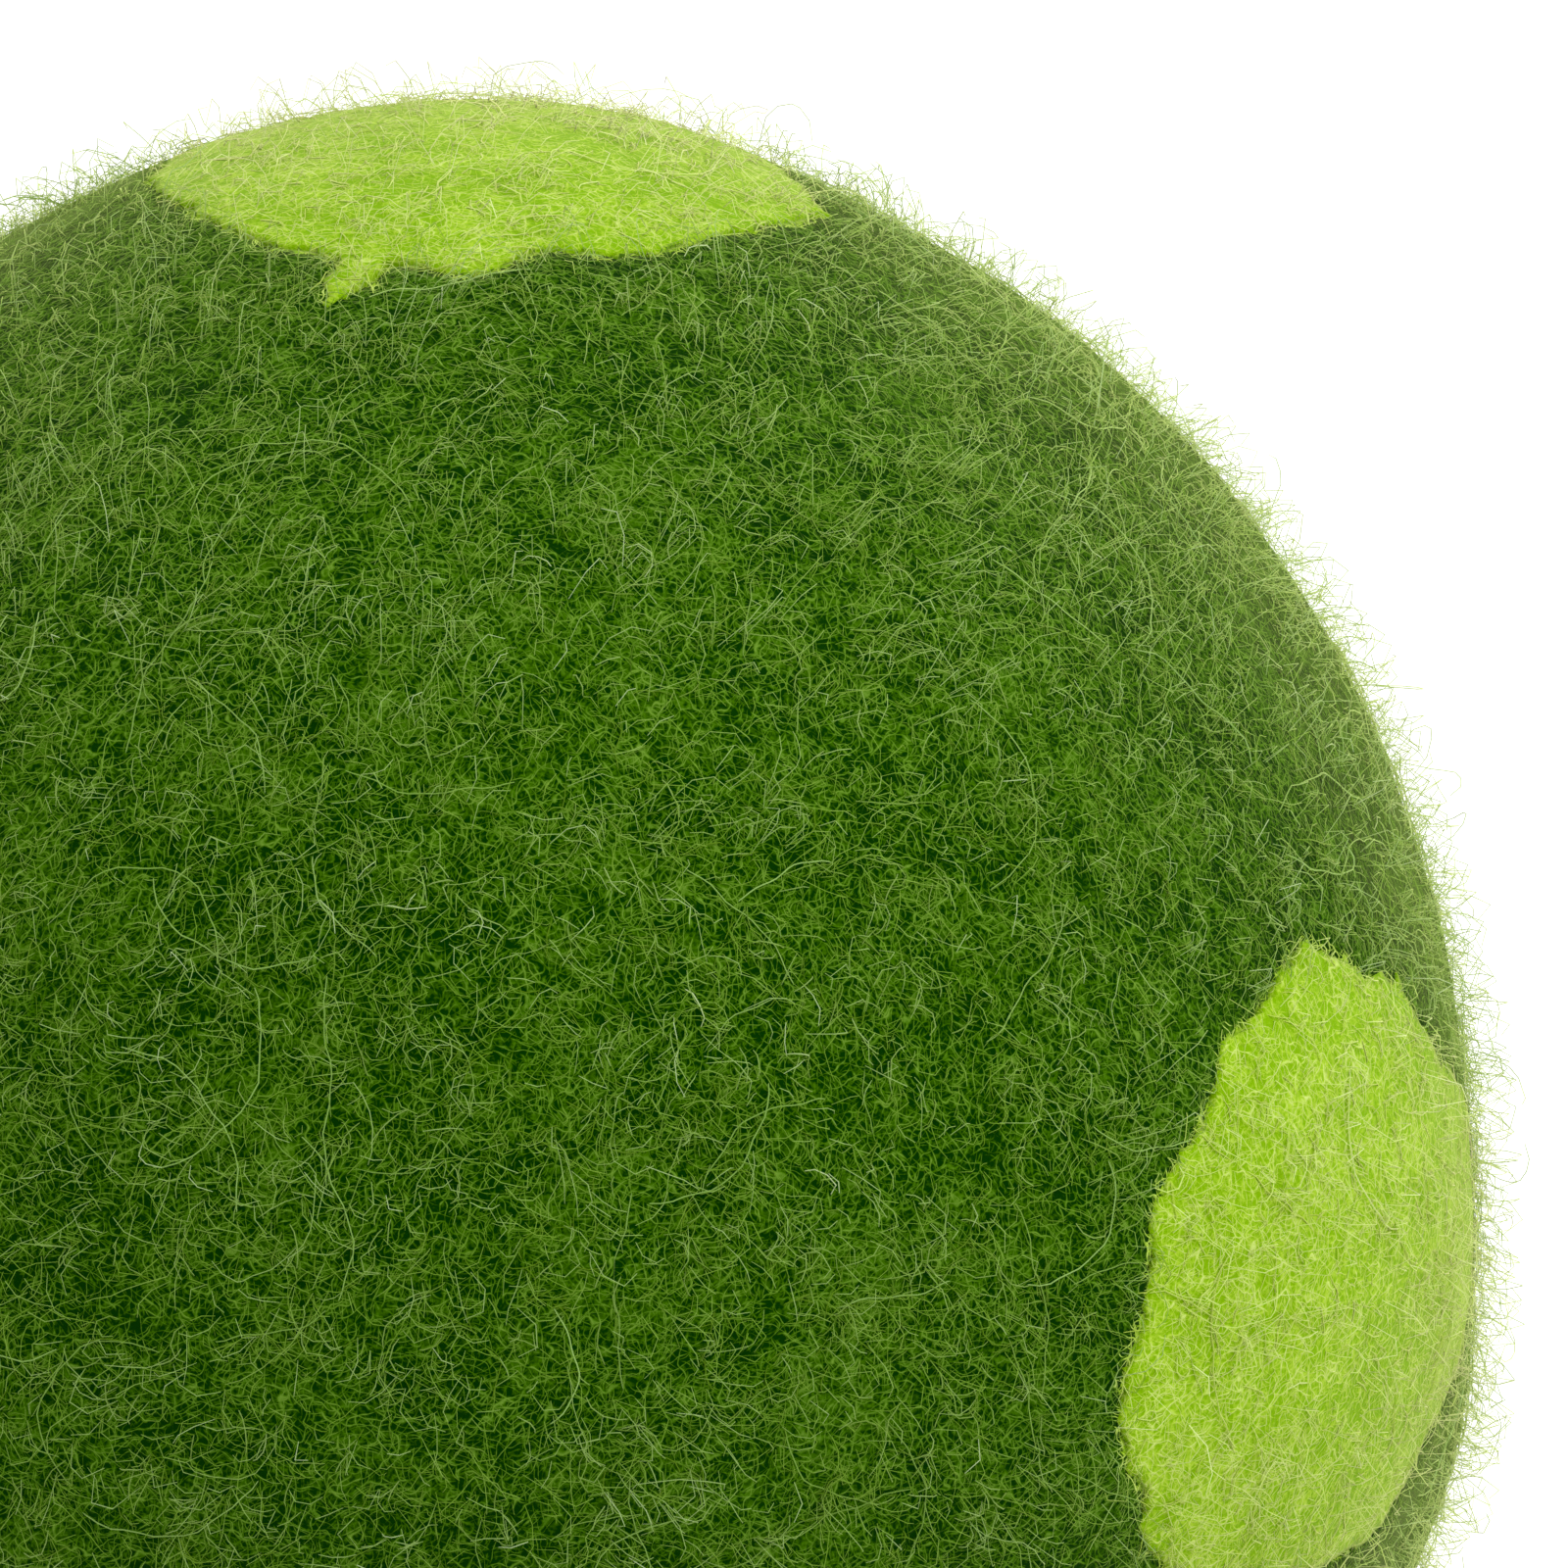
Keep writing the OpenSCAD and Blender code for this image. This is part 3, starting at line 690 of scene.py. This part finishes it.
# Short bits that show before they dive back into the mat, long strands over them, standing fuzz,
# the taller mist that softens the outline, and single wisps
tangle = {"Home": "cover", "Fibres per m2": 360e3, "Length": 1.8 * MM, "Tightest curl": 0.8 * MM,
          "Crimp": 0.1 * MM, "Thickness": 0.05 * MM, "Rise": 0.3 * MM, "Stand": 0.0, "Rooted at": 0.5,
          "Clumping": 0.2, "Points": 5, "Material": green_wool}
strands = {**tangle, "Fibres per m2": 30e3, "Length": 9 * MM, "Tightest curl": 3.5 * MM, "Crimp": 0.12 * MM,
           "Thickness": 0.06 * MM, "Points": 18, "Material": long_green}
fuzz = {**tangle, "Fibres per m2": 660e3, "Length": 1.1 * MM, "Tightest curl": 0.6 * MM,
        "Thickness": 0.042 * MM, "Rise": 0.1 * MM, "Stand": 1.0 * MM, "Rooted at": 0.0, "Clumping": 0.3,
        "Points": 3, "Material": loose_green}
mist = {**fuzz, "Fibres per m2": 460e3, "Length": 1.9 * MM, "Tightest curl": 0.7 * MM,
        "Thickness": 0.038 * MM, "Stand": 2.2 * MM, "Clumping": 0.7, "Points": 4}
wisps = {**fuzz, "Fibres per m2": 80e3, "Length": 3.5 * MM, "Tightest curl": 1.0 * MM, "Crimp": 0.3 * MM,
         "Thickness": 0.038 * MM, "Stand": 2.8 * MM, "Clumping": 0.8, "Points": 8}
cover_layers = [("tangle", tangle, 2), ("strands", strands, 1), ("fuzz", fuzz, 2), ("mist", mist, 3),
                ("wisps", wisps, 1)]
cover_seed = 20
for layer, sizes, count in cover_layers:
    for turn in range(count):
        piece = lay_fibres(f"cover_{layer}_{turn + 1}", {**sizes, "Seed": cover_seed + turn})
        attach(piece, "ball")


# Spots
# Discs of lime green felt, cut freehand with scissors and needle-felted into the cover until they
# lie flush on a slight swell. Their edges are hairy where lime and green fibres cross.
spot_detail = 8
spot_reach = 26  # degrees from a spot's middle within which its edge is looked for
spot_thick = 1.0 * MM
spot_proud = 0.08 * MM  # how far a spot lies over the cover at its cut edge
green_in_rim = 0.75  # how much of the cover's wool is worked into that edge
lime_felt = felt_skin("lime_needle_felt", lime_tones, green_tones, lime_bloom)
lime_wool = wool_fibre("lime_wool_fibre", "#76901c", "#849a36", "#92a850", "#a2b46c", lime_bloom, lime_haze)
loose_lime = wool_fibre("loose_lime_wool_fibre", "#809838", "#8ea44c", "#9cae62", "#acba7e",
                        lime_bloom, lime_haze)
fine_ways, fine_faces = unit_sphere(spot_detail)
form_tree = BVHTree.FromPolygons([Vector(p) for p in form_points], [tuple(f) for f in form_faces])


def spot_patch(name, material):
    """A spot's own felt: the part of the form inside its cut edge, as a closed sheet let into the cover."""
    tree = cad_tree(name)
    centre = (np.array(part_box(name)[0]) + np.array(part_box(name)[1])) / 2 - np.array(middle)
    near = fine_ways @ (centre / np.linalg.norm(centre)) > math.cos(math.radians(spot_reach))
    inside = np.zeros(len(fine_ways), bool)
    for i in np.flatnonzero(near):
        way = strayed(fine_ways[i])
        inside[i] = surface_radius(tree, way) > surface_radius(cover_tree, way)
    kept = fine_faces[inside[fine_faces].all(axis=1)]
    used, faces = np.unique(kept, return_inverse=True)
    faces = faces.reshape(-1, 3)
    sides = sides_of(faces)
    twins = {tuple(s) for s in sides}
    rim = np.array([s for s in sides if (s[1], s[0]) not in twins])
    n = len(used)
    hits = [form_tree.ray_cast(middle, Vector(w)) for w in fine_ways[used]]
    top = np.array([hit[0] for hit in hits]) + fine_ways[used] * spot_proud
    seam = green_in_rim * cover_share[form_faces[[hit[2] for hit in hits]]].mean(axis=1)
    low = top - fine_ways[used] * spot_thick
    wall = np.vstack([np.stack([rim[:, 1], rim[:, 0], rim[:, 0] + n], 1),
                      np.stack([rim[:, 1], rim[:, 0] + n, rim[:, 1] + n], 1)])
    sheet = np.vstack([faces, faces[:, ::-1] + n, wall])
    piece = make_piece(name + "_felt", np.vstack([top, low]), sheet, material)
    mark(piece, "other_felt", np.append(seam, seam))
    return piece


# Each layer of the cover again in lime, so many times as thick
spot_layers = [("tangle", tangle, 3, lime_wool), ("strands", strands, 1, lime_wool),
               ("fuzz", fuzz, 2, loose_lime), ("mist", mist, 2, loose_lime), ("wisps", wisps, 1, loose_lime)]
spot_seed = 80
for turn, name in enumerate(spot_nodes):
    patch = spot_patch(name, lime_felt)
    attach(patch, "ball")
    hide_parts(name)
    for layer, sizes, crowd, wool in spot_layers:
        piece = lay_fibres(f"{name}_{layer}", {**sizes, "Home": name, "Material": wool,
                                               "Seed": spot_seed + turn,
                                               "Fibres per m2": crowd * sizes["Fibres per m2"]})
        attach(piece, "ball")


# Studio
# A pale floor, a white room of soft light with one large soft box at the upper right, and a long lens
# set where the photograph was taken from. Places in the picture are pixels of its 1600 by 1600 frame.
picture = 1600
ball_at_x, ball_at_y, ball_r_px = 457, 1166, 1042
camera_away = 700 * MM
camera_rise = math.radians(19)
sensor = 36.0
sky_low, sky_high = 1.25, 2.0  # the room's brightness at the horizon and overhead

scene = bpy.context.scene
scene.view_settings.view_transform = "Standard"
room = bpy.data.worlds.new("white_room")
scene.world = room
room.use_nodes = True
sky = room.node_tree
way = add(sky, "ShaderNodeSeparateXYZ", {"Vector": add(sky, "ShaderNodeTexCoord").outputs["Generated"]})
strength = add(sky, "ShaderNodeMapRange", {"Value": way.outputs["Z"], "To Min": sky_low, "To Max": sky_high})
sky.links.new(strength.outputs[0], sky.nodes["Background"].inputs["Strength"])
sky.nodes["Background"].inputs["Color"].default_value = (1.0, 1.0, 1.0, 1.0)

floor_half = 12.0
floor_mesh = bpy.data.meshes.new("floor")
floor_corners = [(floor_half * x, floor_half * y, 0) for x, y in ((-1, -1), (1, -1), (1, 1), (-1, 1))]
floor_mesh.from_pydata(floor_corners, [], [(0, 1, 2, 3)])
floor = bpy.data.objects.new("floor", floor_mesh)
scene.collection.objects.link(floor)
paper, tree, shader, in_mm = new_material("white_paper_floor")
shader.inputs["Base Color"].default_value = linear("#cfcfcd")
shader.inputs["Roughness"].default_value = 0.9
floor_mesh.materials.append(paper)

box_light = bpy.data.lights.new("soft_box", "AREA")
box_light.size = 1.2
box_light.energy = 19.0
lamp = bpy.data.objects.new("soft_box", box_light)
lamp.location = (1.04, -0.6, 0.95)
lamp.rotation_mode = "QUATERNION"
lamp.rotation_quaternion = (middle - lamp.location).to_track_quat("-Z", "Y")
scene.collection.objects.link(lamp)

lens_px = ball_r_px / math.tan(math.asin(ball_r / camera_away))
lens = bpy.data.cameras.new("camera")
lens.sensor_width = sensor
lens.lens = lens_px / picture * sensor
lens.clip_start, lens.clip_end = 0.01, 100.0
camera = bpy.data.objects.new("camera", lens)
toward = Vector((0.0, math.cos(camera_rise), -math.sin(camera_rise)))
upward = Vector((0.0, math.sin(camera_rise), math.cos(camera_rise)))
camera.location = middle - toward * camera_away
per_px = camera_away / lens_px
aim = middle + Vector((1, 0, 0)) * (picture / 2 - ball_at_x) * per_px
aim -= upward * (picture / 2 - ball_at_y) * per_px
camera.rotation_mode = "QUATERNION"
camera.rotation_quaternion = (aim - camera.location).to_track_quat("-Z", "Y")
scene.collection.objects.link(camera)
scene.camera = camera
